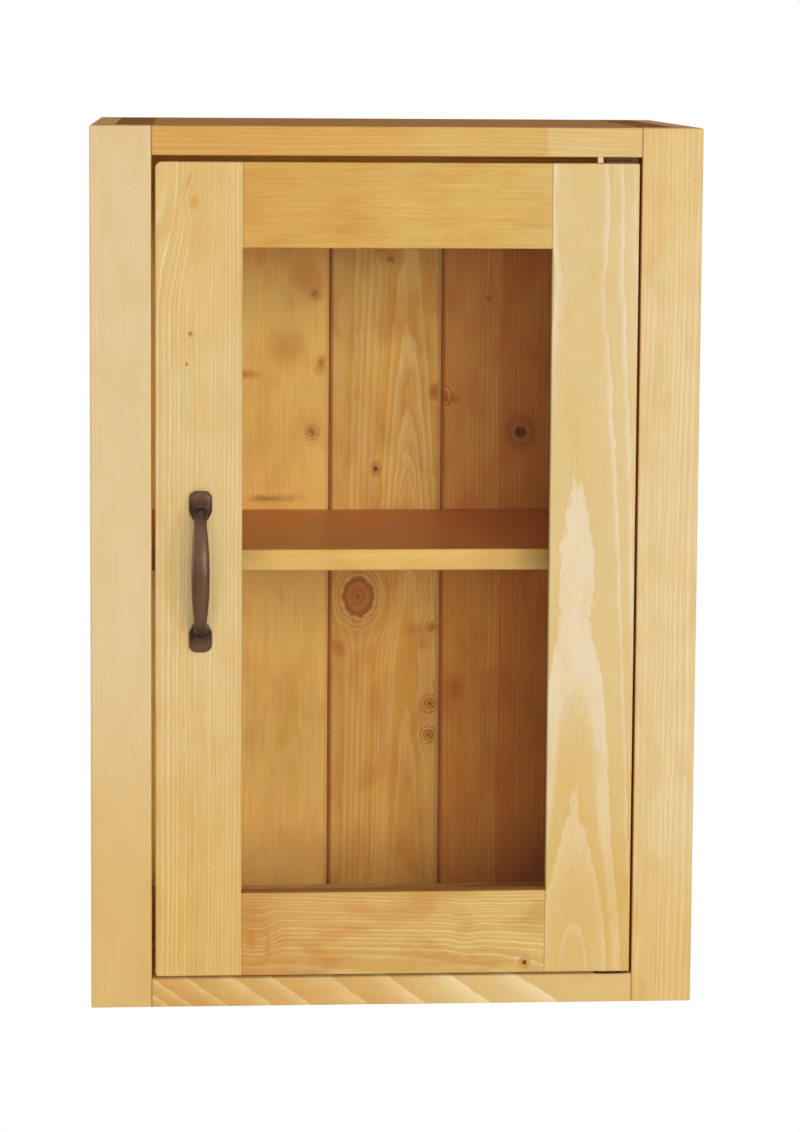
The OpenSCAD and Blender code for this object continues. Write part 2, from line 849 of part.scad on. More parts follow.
// Lift stop: a block with a stem that sits in the top panel, just clear of the door
module lift_stop() {
    color(nylon) translate([stop_x, pivot_y, top_z]) {
        translate([-stop_w/2, -leaf_w/2, -stop_h])
            eased_block([stop_w, leaf_w, stop_h], upright = [edge_r, edge_r, edge_r, edge_r]);
        translate([0, 0, -over/2]) cylinder(d = stop_stem_d, h = stop_stem_l + over/2);
    }
}

// Catch

module catch_screw_places() {
    for (s = [-1, 1])
        translate([catch_x + s*(catch_l + catch_ear)/2, catch_y + catch_d/2, catch_z + catch_ear_t])
            children();
}

// Housing: a block with two screwed ears, hollowed from the front for the magnet and its poles
module catch_housing() {
    pocket_h = magnet_h + 2*pole_t;
    color(housing_brown) difference() {
        translate([catch_x, catch_y + pole_out, catch_z]) {
            translate([-catch_l/2, 0, 0]) eased_block([catch_l, catch_d - pole_out, catch_h],
                lying = [0, 0, edge_r, edge_r], through = [0, 0, edge_r, edge_r]);
            translate([-catch_l/2 - catch_ear, 0, 0])
                eased_block([catch_l + 2*catch_ear, catch_d - pole_out, catch_ear_t],
                    upright = [edge_r, edge_r, edge_r, edge_r]);
        }
        translate([catch_x - magnet_l/2, catch_y + pole_out - over, pole_z - pocket_h/2])
            cube([magnet_l, magnet_d + over, pocket_h]);
        catch_screw_places() wood_screw_bore();
    }
}

module catch_magnet() {
    color(magnet_grey) translate([catch_x - magnet_l/2, catch_y + pole_out, pole_z - magnet_h/2])
        cube([magnet_l, magnet_d, magnet_h]);
}

module catch_poles() {
    color(steel) for (s = [-1, 1])
        translate([catch_x - magnet_l/2, catch_y, pole_z + (s > 0 ? magnet_h/2 : -magnet_h/2 - pole_t)])
            cube([magnet_l, magnet_d + pole_out, pole_t]);
}

module catch_screws() {
    color(steel) catch_screw_places() wood_screw();
}

// Places of the strike screws, on the back of the door and pointing to the front
module strike_screw_places() {
    for (x = strike_screw_x) translate([catch_x + x, door_back_y + strike_t, strike_mid_z])
        rotate([-90, 0, 0]) children();
}

strike_mid_z = max(pole_z, door_z0 + edge_r + strike_h/2);

module strike_plate() {
    color(steel) difference() {
        translate([catch_x - strike_l/2, door_back_y, strike_mid_z - strike_h/2])
            eased_block([strike_l, strike_t, strike_h], through = [edge_r, edge_r, edge_r, edge_r]);
        strike_screw_places() wood_screw_bore();
    }
}

module strike_screws() {
    color(steel) strike_screw_places() wood_screw();
}

// Shelf

module shelf() {
    color(pine_shelf) translate([-in_x + shelf_clear, shelf_y0, shelf_z])
        eased_block([2*(in_x - shelf_clear), shelf_y1 - shelf_y0, shelf_t],
            lying = [edge_r, 0, 0, edge_r]);
}

// Support at the left side panel: the shelf rests on its tab
module shelf_support(y) {
    translate([-in_x, y, shelf_z]) {
        translate([0, -support_w/2, -support_plate_h])
            cube([support_plate_t, support_w, support_plate_h]);
        translate([0, -support_w/2, -support_tab_t]) cube([support_tab_l, support_w, support_tab_t]);
        translate([over/2, 0, -support_plate_h/2]) rotate([0, -90, 0])
            cylinder(d = support_hole_d - 2*fit, h = support_stem_l + over/2);
    }
}

module shelf_supports() {
    color(steel) both_sides() for (y = support_y) shelf_support(y);
}

side_panel_left();
side_panel_right();
front_stile_left();
front_stile_right();
top_panel();
bottom_panel();
hanging_rail();
carcass_dowels();
back_board(0);  // back_board_1
back_board(1);  // back_board_2
back_board(2);  // back_board_3
back_board(3);  // back_board_4
back_board(4);  // back_board_5
back_nails();
door_stile_latch();
door_stile_hinge();
door_rail_top();
door_rail_bottom();
door_dowels();
glass_pane();
bead_top();
bead_bottom();
bead_latch();
bead_hinge();
bead_brads();
handle();
handle_screws();
top_hinge_door_leaf();
bottom_hinge_door_leaf();
hinge_door_screws();
top_hinge_frame_leaf();
bottom_hinge_frame_leaf();
hinge_frame_screws();
hinge_washers();
lift_stop();
catch_housing();
catch_magnet();
catch_poles();
catch_screws();
strike_plate();
strike_screws();
shelf();
shelf_supports();
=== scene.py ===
"""Glass door wall cabinet: honey stained and waxed spruce, clear float glass, a bronze lacquered handle.

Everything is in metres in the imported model's frame: X to the right, Y into the wall, Z up.
Places and sizes in the tables are millimetres, because they are the cabinet maker's numbers.
"""

import math

import bmesh
import bpy
from mathutils import Matrix, Vector


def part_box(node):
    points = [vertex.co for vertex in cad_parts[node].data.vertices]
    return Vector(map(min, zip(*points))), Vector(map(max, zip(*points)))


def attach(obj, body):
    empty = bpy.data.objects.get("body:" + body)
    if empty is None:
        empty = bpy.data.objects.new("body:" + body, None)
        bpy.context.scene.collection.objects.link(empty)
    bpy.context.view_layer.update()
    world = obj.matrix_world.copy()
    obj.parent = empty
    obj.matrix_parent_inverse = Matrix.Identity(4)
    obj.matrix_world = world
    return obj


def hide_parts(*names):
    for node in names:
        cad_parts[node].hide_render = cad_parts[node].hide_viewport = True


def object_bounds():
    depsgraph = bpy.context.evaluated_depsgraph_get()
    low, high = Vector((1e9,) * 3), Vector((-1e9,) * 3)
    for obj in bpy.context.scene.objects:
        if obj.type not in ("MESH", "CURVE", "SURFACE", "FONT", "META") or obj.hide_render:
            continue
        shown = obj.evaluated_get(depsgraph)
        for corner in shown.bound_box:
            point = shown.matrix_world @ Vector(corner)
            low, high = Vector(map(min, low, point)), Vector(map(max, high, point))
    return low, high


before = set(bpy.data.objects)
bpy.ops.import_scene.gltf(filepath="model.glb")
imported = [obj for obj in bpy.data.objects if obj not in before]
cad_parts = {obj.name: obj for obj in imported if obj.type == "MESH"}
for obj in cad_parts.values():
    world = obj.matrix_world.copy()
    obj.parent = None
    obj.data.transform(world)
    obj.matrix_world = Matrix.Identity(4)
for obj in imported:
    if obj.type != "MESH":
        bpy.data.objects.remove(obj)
cad_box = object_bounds()

MM = 0.001

# Camera: fitted to the photograph, 800 x 1132 pixels, whose long side is the sensor's 36 mm.
# Its place is in metres and its angles are radians.

SENSOR = 36
PHOTO_AT = (-0.16310, -2.89550, 0.79000)
LOOK_DOWN = 0.0970
LOOK_RIGHT = 0.0640
TILT = 0.0068
LENS = 101.28
SHIFT_UP = -0.18

camera = bpy.data.objects.new("camera", bpy.data.cameras.new("camera"))
bpy.context.scene.collection.objects.link(camera)
bpy.context.scene.camera = camera
camera.data.lens = LENS
camera.data.sensor_width = SENSOR
camera.data.shift_y = SHIFT_UP
camera.matrix_world = (
    Matrix.Translation(PHOTO_AT)
    @ Matrix.Rotation(-LOOK_RIGHT, 4, "Z")
    @ Matrix.Rotation(math.pi / 2 - LOOK_DOWN, 4, "X")
    @ Matrix.Rotation(TILT, 4, "Z")
)


# Tools


def linear(hex_code, alpha=1.0):
    """An sRGB hex colour as the linear values that the shaders take."""
    parts = [int(hex_code[i:i + 2], 16) / 255 for i in (1, 3, 5)]
    return (*[c / 12.92 if c <= 0.04045 else ((c + 0.055) / 1.055) ** 2.4 for c in parts], alpha)


def add(tree, kind, *inputs, out=0, stops=None, **settings):
    """Adds a node with its settings and links, and returns one of its outputs.

    Inputs go to the sockets in order, and a dict gives sockets by name or number. On a Mix node for
    colours, sockets 6 and 7 are the two colours and output 2 is the mixed one. For plain values they
    are sockets 2 and 3, and output 0."""
    node = tree.nodes.new("ShaderNode" + kind)
    for key, value in settings.items():
        setattr(node, key, value)
    if stops:
        while len(node.color_ramp.elements) < len(stops):
            node.color_ramp.elements.new(0.5)
        for element, (position, colour) in zip(node.color_ramp.elements, stops):
            element.position = position
            element.color = colour
    wanted = {}
    for i, value in enumerate(inputs):
        wanted.update(value if isinstance(value, dict) else {i: value})
    for key, value in wanted.items():
        if isinstance(value, bpy.types.NodeSocket):
            tree.links.new(value, node.inputs[key])
        else:
            node.inputs[key].default_value = value
    return node.outputs[out] if node.outputs else node


def new_material(name):
    material = bpy.data.materials.new(name)
    material.use_nodes = True
    material.node_tree.nodes.clear()
    return material, material.node_tree


def finish_material(tree, shader):
    add(tree, "OutputMaterial", {"Surface": shader})


def dress(material, *nodes):
    for name in nodes:
        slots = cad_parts[name].data.materials
        slots.clear()
        slots.append(material)


# Lights: one broad soft source in front, smaller ones from both front sides, and weak ones for the
# other sides. Their azimuths are degrees from the front, and their places and sizes metres.


def soft_box(name, azimuth, height, distance, size, level, mirrored=True):
    """An area lamp aimed at the cabinet. Level is the share of full light that a plane facing it gets."""
    data = bpy.data.lights.new(name, "AREA")
    data.shape = "RECTANGLE"
    data.size, data.size_y = size
    lamp = bpy.data.objects.new(name, data)
    bpy.context.scene.collection.objects.link(lamp)
    lo, hi = cad_box
    middle = (lo + hi) / 2
    turn = math.radians(azimuth)
    at = Vector((distance * math.sin(turn), middle.y - distance * math.cos(turn), height))
    lamp.matrix_world = Matrix.Translation(at) @ (middle - at).to_track_quat("-Z", "Y").to_matrix().to_4x4()
    data.energy = level * (math.pi * (at - middle).length) ** 2
    lamp.visible_camera = False
    lamp.visible_glossy = mirrored
    lamp.visible_transmission = mirrored


soft_box("front light", 9, 1.42, 5.0, (2.5, 2.2), 0.50, mirrored=False)
soft_box("right light", 42, 0.60, 5.0, (1.1, 1.2), 0.19)
soft_box("near right light", 22, 0.90, 5.0, (0.9, 0.9), 0.08)
soft_box("left front light", -20, 0.60, 5.0, (1.4, 1.4), 0.18, mirrored=False)
soft_box("left light", -105, 0.6, 4.0, (2.0, 1.6), 0.33)
soft_box("back light", 165, 0.8, 4.0, (2.5, 2.0), 0.45)
soft_box("ceiling light", 180, 4.4, 0.3, (2.0, 2.0), 0.21)

# The world lights the cabinet weakly, and looks pure white itself and in mirror images

SKY_LEVEL = 0.15

scene = bpy.context.scene
scene.view_settings.view_transform = "Standard"
scene.world = bpy.data.worlds.new("studio")
scene.world.use_nodes = True
sky = scene.world.node_tree
sky.nodes.clear()
rays = add(sky, "LightPath").node.outputs
seen = add(sky, "Math", rays["Is Camera Ray"], rays["Is Glossy Ray"], operation="MAXIMUM")
seen = add(sky, "Math", seen, rays["Is Transmission Ray"], operation="MAXIMUM")
level = add(sky, "MapRange", {"Value": seen, "To Min": SKY_LEVEL, "To Max": 1.0})
add(sky, "OutputWorld", add(sky, "Background", linear("#FFFFFF"), level))

# Floor: pale matt paint of a studio, far below the hanging cabinet. The camera sees it white, with a
# share of the paint's own soft shade near the cabinet.

FLOOR_Z = -1.35
FLOOR_HALF = 45.0
SHADE_TO, WHITE_FROM, LEAST_WHITE = 1.0, 3.2, 0.8

floor_mesh = bpy.data.meshes.new("floor")
shape = bmesh.new()
bmesh.ops.create_grid(shape, x_segments=1, y_segments=1, size=FLOOR_HALF,
                      matrix=Matrix.Translation((0, 0, FLOOR_Z)))
shape.to_mesh(floor_mesh)
shape.free()
floor = bpy.data.objects.new("floor", floor_mesh)
scene.collection.objects.link(floor)
floor_material, tree = new_material("pale matt floor paint")
rays = add(tree, "LightPath").node.outputs
seen = add(tree, "Math", rays["Is Camera Ray"], rays["Is Transmission Ray"], operation="MAXIMUM")
from_cabinet = add(tree, "TexCoord", out="Object").node.outputs["Object"]
from_cabinet = add(tree, "VectorMath", from_cabinet, (1, 1, 0), operation="MULTIPLY")
from_cabinet = add(tree, "VectorMath", from_cabinet, operation="LENGTH", out="Value")
share = add(tree, "MapRange", {"Value": from_cabinet, "From Min": SHADE_TO, "From Max": WHITE_FROM,
                               "To Min": LEAST_WHITE}, interpolation_type="SMOOTHSTEP")
share = add(tree, "Math", share, seen, operation="MULTIPLY")
matt = add(tree, "BsdfDiffuse", {"Color": linear("#E8E6E2")})
glow = add(tree, "Emission", {"Color": linear("#FFFFFF"), "Strength": 1.0})
finish_material(tree, add(tree, "MixShader", share, matt, glow))
floor_mesh.materials.append(floor_material)


# Spruce: sawn from a trunk with yearly rings round its pith, planed, stained honey and waxed.
# The eye gets pale wood between darker ring lines, arches where the saw cut along a ring,
# fine fibres along the grain, and knots that the rings flow round.

AXES = {"x": Vector((1, 0, 0)), "y": Vector((0, 1, 0)), "z": Vector((0, 0, 1)),
        "-x": Vector((-1, 0, 0)), "-z": Vector((0, 0, -1))}

# Sizes of the figure's patterns across, into and along the wood, and the reach of its relief, in mm
SLOW_BEND = (60, 60, 350)
RAGGED_EDGE = (7, 7, 16)
FIBRE = (1.1, 1.1, 60)
PATCH = (22, 22, 48)
RELIEF = 0.06

# Patterns that are the same every way, in waves per mm
PORES = 0.7
KNOT_WAVES = 0.2

# Noise strays about a quarter from its middle, so four times a reach brings it that far
NOISE_REACH = 4

# Share of late wood through a year, how the years differ, and how far a knot parts the fibres in radii
SEASONS = ((0.0, 0.1), (0.12, 0.0), (0.45, 0.06), (0.74, 0.3), (0.88, 1.0), (1.0, 0.15))
UNEVEN_WAVES, UNEVEN_YEARS, WEAKEST_YEAR = 0.16, 3.0, 0.35
KNOT_PUSH_REACH = 4.0

# Cosines from and at which a face counts as facing a way or as facing up, and a joint line's mm from its
# joint
FACING_FROM, FACING_AT = 0.6, 0.95
UPWARD_FROM, UPWARD_AT = 0.8, 0.98
LINE_FROM, LINE_AT = 1.3, 0.1

# Marks from their middle outwards: reach in radii, waviness, then place, colour and cover of each ring.
# A knot has a red brown heart with its own rings, a thin dark rim and wavy pale wood round it.
# A pin is the brown curl over a small twig, and a speck is a dark twig cut across.
MARKS = {
    "knot": (2.5, 0.3, [
        (0.0, "#8F4A1E", 1), (0.06, "#BC7432", 1), (0.16, "#AE662A", 1), (0.24, "#C27C38", 1),
        (0.33, "#AE662C", 1), (0.38, "#8E4E1E", 0.9), (0.41, "#B87838", 0.9), (0.46, "#E0AC62", 0.7),
        (0.52, "#B87434", 0.7), (0.56, "#E0AC62", 0.55), (0.63, "#B87434", 0.5), (0.67, "#DEA85E", 0.4),
        (0.76, "#C07C38", 0.35), (1.0, "#C88C48", 0)]),
    "pin": (3.0, 0.6, [
        (0.0, "#9A4A18", 0.9), (0.05, "#7C300A", 1.0), (0.11, "#C07030", 0.8), (0.20, "#C87C36", 0.7),
        (0.25, "#8E3608", 1.0), (0.30, "#E4A656", 0.6), (0.37, "#D8944A", 0.4), (0.43, "#9A4410", 0.7),
        (0.48, "#DCA050", 0.3), (1.0, "#CC7C34", 0)]),
    "speck": (3.5, 0.6, [
        (0.0, "#8A4A26", 1), (0.12, "#6E3418", 1), (0.22, "#743A1A", 1), (0.30, "#A8662E", 0.8),
        (0.42, "#C07E3C", 0.5), (0.55, "#96562A", 0.45), (1.0, "#A0622C", 0)]),
}


def per_mm(size):
    return tuple(1 / length for length in size)


def bend_fibres(tree, at, seed, bend, ragged):
    """Bends the fibres slowly, and frays the edge of a cut ring."""
    slow_at = add(tree, "VectorMath", at, per_mm(SLOW_BEND), (seed, seed * 1.7, seed * 0.6),
                  operation="MULTIPLY_ADD")
    slow = add(tree, "TexNoise", {"Vector": slow_at, "Scale": 1.0, "Detail": 2.0}, out="Color")
    fast_at = add(tree, "VectorMath", at, per_mm(RAGGED_EDGE), (seed, 0, seed), operation="MULTIPLY_ADD")
    fast = add(tree, "TexNoise", {"Vector": fast_at, "Scale": 1.0, "Detail": 3.0, "Roughness": 0.6},
               out="Color")
    for noise, reach in ((slow, bend * NOISE_REACH), (fast, ragged * NOISE_REACH)):
        off = add(tree, "VectorMath", noise, (0.5, 0.5, 0.5), operation="SUBTRACT")
        at = add(tree, "VectorMath", off, (reach, reach, 0), at, operation="MULTIPLY_ADD")
    return at


def radii_away(tree, at, place, radius):
    """The way from a place in the wood, and its length in radii across and along the grain."""
    offset = add(tree, "VectorMath", at, place, operation="SUBTRACT")
    scaled = add(tree, "VectorMath", offset, (1 / radius[0], 0, 1 / radius[1]), operation="MULTIPLY")
    return offset, add(tree, "VectorMath", scaled, operation="LENGTH", out="Value")


def swell_fibres(tree, at, fibres_at, swells):
    """Moves the fibres across and into the wood, as a hidden branch does."""
    for place, radius, move in swells:
        _, distance = radii_away(tree, at, place, radius)
        reach = add(tree, "MapRange", {"Value": distance, "To Min": 1.0, "To Max": 0.0},
                    interpolation_type="SMOOTHERSTEP")
        side = add(tree, "VectorMath", (-move[0], -move[1], 0), {"Scale": reach}, operation="SCALE")
        fibres_at = add(tree, "VectorMath", fibres_at, side, operation="ADD")
    return fibres_at


def part_round_knots(tree, fibres_at, spots_of_kind):
    """Parts the fibres round every mark, and gives each kind's nearest distance in radii."""
    nearest = {}
    for kind, spots in spots_of_kind.items():
        for place, radius, push in spots:
            offset, distance = radii_away(tree, fibres_at, place, radius)
            reach = add(tree, "MapRange", {"Value": distance, "From Max": KNOT_PUSH_REACH,
                                           "To Min": 1.0, "To Max": 0.0}, interpolation_type="SMOOTHERSTEP")
            side = add(tree, "VectorMath", offset, (-push, 0, 0), operation="MULTIPLY")
            side = add(tree, "VectorMath", side, {"Scale": reach}, operation="SCALE")
            fibres_at = add(tree, "VectorMath", fibres_at, side, operation="ADD")
            if kind in nearest:
                distance = add(tree, "Math", nearest[kind], distance, operation="MINIMUM")
            nearest[kind] = distance
    return fibres_at, nearest


def late_wood(tree, fibres_at, height, pith, lean, ring, rings, lines):
    """The share of dark late wood, in yearly rings round the leaning pith."""
    from_pith = add(tree, "VectorMath", fibres_at, (pith[0], pith[1], 0), operation="SUBTRACT")
    leaning = add(tree, "VectorMath", (-lean[0], -lean[1], -1), {"Scale": height}, operation="SCALE")
    flat = add(tree, "VectorMath", from_pith, leaning, operation="ADD")
    radius = add(tree, "VectorMath", flat, operation="LENGTH", out="Value")
    if rings:
        first, last = rings[0][0], rings[-1][0]
        season = add(tree, "MapRange", {"Value": radius, "From Min": first, "From Max": last})
        season = add(tree, "ValToRGB", season, stops=[
            ((r - first) / (last - first), (share, share, share, 1)) for r, share in rings])
        return add(tree, "Math", season, lines, operation="MULTIPLY")
    uneven = add(tree, "Math", radius, UNEVEN_WAVES / ring, operation="MULTIPLY")
    uneven = add(tree, "TexNoise", {"W": uneven, "Scale": 1.0, "Detail": 1.0}, noise_dimensions="1D")
    years = add(tree, "Math", radius, 1 / ring, operation="MULTIPLY")
    years = add(tree, "Math", uneven, UNEVEN_YEARS, years, operation="MULTIPLY_ADD")
    season = add(tree, "Math", years, operation="FRACT")
    season = add(tree, "ValToRGB", season, stops=[
        (when, (share, share, share, 1)) for when, share in SEASONS])
    year = add(tree, "Math", years, operation="FLOOR")
    strength = add(tree, "TexWhiteNoise", {"W": year}, noise_dimensions="1D")
    strength = add(tree, "MapRange", {"Value": strength, "To Min": WEAKEST_YEAR * lines, "To Max": lines})
    return add(tree, "Math", season, strength, operation="MULTIPLY")


def light_left(tree, at, fibres, fibre, stain):
    """The share of light that the fibres, the pores and the stain leave."""
    tone = add(tree, "MapRange", {"Value": fibres, "From Min": 0.3, "From Max": 0.7,
                                  "To Min": 1 - fibre, "To Max": 1 + fibre})
    pores = add(tree, "TexNoise", {"Vector": at, "Scale": PORES, "Detail": 3.0, "Roughness": 0.7})
    pores = add(tree, "MapRange", {"Value": pores, "From Min": 0.3, "From Max": 0.7,
                                   "To Min": 1 - fibre, "To Max": 1 + fibre})
    tone = add(tree, "Math", tone, pores, operation="MULTIPLY")
    return add(tree, "Math", tone, stain, operation="MULTIPLY")


def paint_stains_and_shade(tree, colour, patches, fibres_at, stains_and_shade):
    """Soft marks, stains in the wood and in places painted shade, whose edges the patches of tone make
    uneven.
    """
    for place, size, share, tint in stains_and_shade:
        _, distance = radii_away(tree, fibres_at, place, size)
        distance = add(tree, "Math", patches, 2.0, distance, operation="MULTIPLY_ADD")
        mask = add(tree, "MapRange", {"Value": distance, "From Min": 2.3, "From Max": 1.0, "To Max": share},
                   interpolation_type="SMOOTHSTEP")
        colour = add(tree, "Mix", {0: mask, 6: colour, 7: linear(tint)}, data_type="RGBA", out=2)
    return colour


def paint_marks(tree, colour, at, nearest):
    """Knots, pins and specks with wavy outlines. The curl of a pin fades in places."""
    waves = add(tree, "TexNoise", {"Vector": at, "Scale": KNOT_WAVES, "Detail": 4.0, "Roughness": 0.6})
    fade = add(tree, "MapRange", {"Value": waves, "From Min": 0.36, "From Max": 0.54, "To Min": 0.5})
    waves = add(tree, "MapRange", {"Value": waves, "To Min": -1.0, "To Max": 1.0})
    for kind, distance in nearest.items():
        reach, waviness, stops = MARKS[kind]
        wavy = add(tree, "Math", waves, waviness, distance, operation="MULTIPLY_ADD")
        spot = add(tree, "MapRange", {"Value": wavy, "From Max": reach})
        ramp = add(tree, "ValToRGB", spot, stops=[
            (position, linear(tint, cover)) for position, tint, cover in stops]).node.outputs
        cover = ramp["Alpha"]
        if kind == "pin":
            cover = add(tree, "Math", cover, fade, operation="MULTIPLY")
        colour = add(tree, "Mix", {0: cover, 6: colour, 7: ramp["Color"]}, data_type="RGBA", out=2)
    return colour


def paint_facing(tree, colour, normal, way, tint, most=1.0, both_ways=False):
    """Tints the faces that look one way, or also the opposite way."""
    facing = add(tree, "VectorMath", normal, way, operation="DOT_PRODUCT", out="Value")
    if both_ways:
        facing = add(tree, "Math", facing, operation="ABSOLUTE")
    facing = add(tree, "MapRange", {"Value": facing, "From Min": FACING_FROM, "From Max": FACING_AT,
                                    "To Max": most})
    return add(tree, "Mix", {0: facing, 6: colour, 7: linear(tint)}, data_type="RGBA",
               blend_type="MULTIPLY", out=2)


def paint_joint_lines(tree, colour, height, seam):
    """A dark line at each end of the visible grain, where the board meets its neighbours."""
    middle, half = seam
    from_middle = add(tree, "Math", height, middle, operation="SUBTRACT")
    from_middle = add(tree, "Math", from_middle, operation="ABSOLUTE")
    line = add(tree, "MapRange", {"Value": from_middle, "From Min": half - LINE_FROM,
                                  "From Max": half - LINE_AT, "To Max": 0.6})
    return add(tree, "Mix", {0: line, 6: colour, 7: linear("#8F5E2C")}, data_type="RGBA", out=2)


def paint_groove(tree, colour, across_at, edges):
    """Colours the groove between back boards: stain gathered on the bevel that faces away from the light,
    together with painted shade there, a painted highlight on the bevel that faces the light, and the tongue
    without stain, painted a deep orange that stands in for warm bounce light in the narrow gap.

    Each line has where its tint starts and is full, its cover and its colour."""
    left, right = edges
    # Left bevel: gathered stain and painted shade; right bevel: painted highlight; tongue: unstained wood
    # painted deep orange for the bounce light in the gap
    for start, end, most, tint in ((left + 4.4, left + 1.2, 0.85, "#9C5420"),
                                   (right - 4.0, right - 3.2, 0.35, "#F2C880"),
                                   (right - 0.4, right - 0.1, 1.0, "#E08A38")):
        share = add(tree, "MapRange", {"Value": across_at, "From Min": start, "From Max": end,
                                       "To Max": most})
        colour = add(tree, "Mix", {0: share, 6: colour, 7: linear(tint)}, data_type="RGBA", out=2)
    return colour


def timber(name, nodes, early, late, grain="z", into="y", face=0.0, pith=(0, 60), lean=(0, 0),
           ring=3.0, bend=1.5, ragged=0.25, lines=0.4, fibre=0.04, mottle=0.10, mottle_colour="#B97A35",
           swells=(), knots=(), pins=(), specks=(), stains_and_shade=(), drift_and_shade=(), heart=(), seam=None, groove=None,
           rings=None, edge=None, stain=0.88, top_shade="#F6D8C4", matt=1.0, rough=0.5, shine=0.05,
           seed=0.0):
    """Solid wood of one board, in the board's own millimetres: across, into the wood and along the grain.

    early and late are the two colours of a year, and lines the strength of the late one.
    pith is the trunk's centre across and behind the face, and lean is how it wanders for each
    millimetre along the grain. ring is the mean width of a year, bend how far the rings wander and
    ragged how frayed they are. rings gives radii and shares of late wood in place of mean years.
    fibre and mottle are the strengths of single fibres and of soft patches of mottle_colour.
    swells, knots, pins, specks and smudges start with a place and its radii across and along. A swell
    then has its move across and into the wood, a smudge its cover and tint, and the others how far
    they push the fibres. smudges are soft marks: stains in the wood, and in places painted shade.
    drift and heart tint the wood from one place to another, along the grain and across it; on the back
    boards the drift is painted shade, warmer and darker under the top rail and toned to the light above
    and below the shelf. seam is the middle and half length of the grain between two joint lines, and
    groove the edges of a back board. stain is the share of light that the stain leaves, dust the painted
    shade of upward faces, darker and browner as faces lit little from above, matt how dull upward faces
    are, and edge the tint of faces that look to one side of the board, which on the front stiles is
    painted warm bounce light on their faces inside the gaps round the door.
    """
    material, tree = new_material(name)
    along, depth = AXES[grain], AXES[into]
    across = depth.cross(along)
    axes = Matrix((across, depth, along)).transposed()
    local = axes.transposed()
    origin = depth * face

    def inside(spots):
        return [(local @ (Vector(place) - origin), *rest) for place, *rest in spots]

    coords = add(tree, "TexCoord", out="Object").node.outputs
    at = add(tree, "Mapping", {"Vector": coords["Object"], "Location": origin * MM,
                               "Rotation": axes.to_euler(), "Scale": (MM, MM, MM)}, vector_type="TEXTURE")
    own = add(tree, "SeparateXYZ", at).node.outputs

    # The figure: where each fibre runs, and which year it grew in
    fibres_at = bend_fibres(tree, at, seed, bend, ragged)
    fibres_at = swell_fibres(tree, at, fibres_at, inside(swells))
    marks = {"knot": inside(knots), "pin": inside(pins), "speck": inside(specks)}
    fibres_at, nearest = part_round_knots(tree, fibres_at, marks)
    late_share = late_wood(tree, fibres_at, own["Z"], pith, lean, ring, rings, lines)
    colour = add(tree, "Mix", {0: late_share, 6: linear(early), 7: linear(late)}, data_type="RGBA", out=2)

    # Fibres in long bundles, soft patches of tone, and a fine grain of pores
    fibre_at = add(tree, "VectorMath", fibres_at, per_mm(FIBRE), operation="MULTIPLY")
    fibres = add(tree, "TexNoise", {"Vector": fibre_at, "Scale": 1.0, "Detail": 3.0, "Roughness": 0.55})
    patch_at = add(tree, "VectorMath", fibres_at, per_mm(PATCH), (0, seed, seed), operation="MULTIPLY_ADD")
    patches = add(tree, "TexNoise", {"Vector": patch_at, "Scale": 1.0, "Detail": 2.0, "Distortion": 0.4})
    patch_share = add(tree, "MapRange", {"Value": patches, "From Min": 0.40, "From Max": 0.75,
                                         "To Max": mottle * 3}, interpolation_type="SMOOTHSTEP")
    colour = add(tree, "Mix", {0: patch_share, 6: colour, 7: linear(mottle_colour)}, data_type="RGBA", out=2)
    tone = light_left(tree, at, fibres, fibre, stain)
    colour = add(tree, "VectorMath", colour, {"Scale": tone}, operation="SCALE")

    # Tone that drifts along the board, which on the back boards is painted shade, not on upward faces, and
    # redder heartwood beyond one of its fibres
    upward = add(tree, "SeparateXYZ", coords["Normal"], out="Z")
    upward_share = add(tree, "MapRange", {"Value": upward, "From Min": UPWARD_FROM, "From Max": UPWARD_AT})
    not_upward = add(tree, "Math", 1.0, upward_share, operation="SUBTRACT")
    across_at = add(tree, "SeparateXYZ", fibres_at, out="X")
    for value, bands in ((own["Z"], drift_and_shade), (across_at, heart)):
        for start, end, tint in bands:
            share = add(tree, "MapRange", {"Value": value, "From Min": start, "From Max": end},
                        interpolation_type="SMOOTHSTEP")
            share = add(tree, "Math", share, not_upward, operation="MULTIPLY")
            colour = add(tree, "Mix", {0: share, 6: colour, 7: linear(tint)}, data_type="RGBA",
                         blend_type="MULTIPLY", out=2)

    # Soft marks, stains in the wood and in places painted shade, then knots, end grain that soaks up the
    # finish, and the lines at the joints
    colour = paint_stains_and_shade(tree, colour, patches, fibres_at, inside(stains_and_shade))
    if nearest:
        colour = paint_marks(tree, colour, at, nearest)
    colour = paint_facing(tree, colour, coords["Normal"], along, "#FFE2D0", most=0.75, both_ways=True)
    if edge:
        tint, side = edge
        colour = paint_facing(tree, colour, coords["Normal"], across * side, tint)
    if seam:
        colour = paint_joint_lines(tree, colour, own["Z"], seam)
    if groove:
        colour = paint_groove(tree, colour, own["X"], groove)

    # Upward faces are matt, and take their tint of painted shade, darker and browner as faces lit little from
    # above
    colour = add(tree, "Mix", {0: upward_share, 6: colour, 7: linear(top_shade)}, data_type="RGBA",
                 blend_type="MULTIPLY", out=2)
    gloss = add(tree, "MapRange", {"Value": fibres, "To Min": rough - 0.06, "To Max": rough + 0.08})
    dull = add(tree, "Math", upward_share, matt, operation="MULTIPLY")
    gloss = add(tree, "Mix", {0: dull, 2: gloss, 3: 1.0})
    height = add(tree, "Math", late_share, 0.6, fibres, operation="MULTIPLY_ADD")
    bump = add(tree, "Bump", {"Strength": 0.25, "Distance": RELIEF * MM, "Height": height})
    finish_material(tree, add(tree, "BsdfPrincipled", {
        "Base Color": colour, "Roughness": gloss, "Normal": bump, "IOR": 1.5, "Specular IOR Level": shine}))
    dress(material, *nodes)


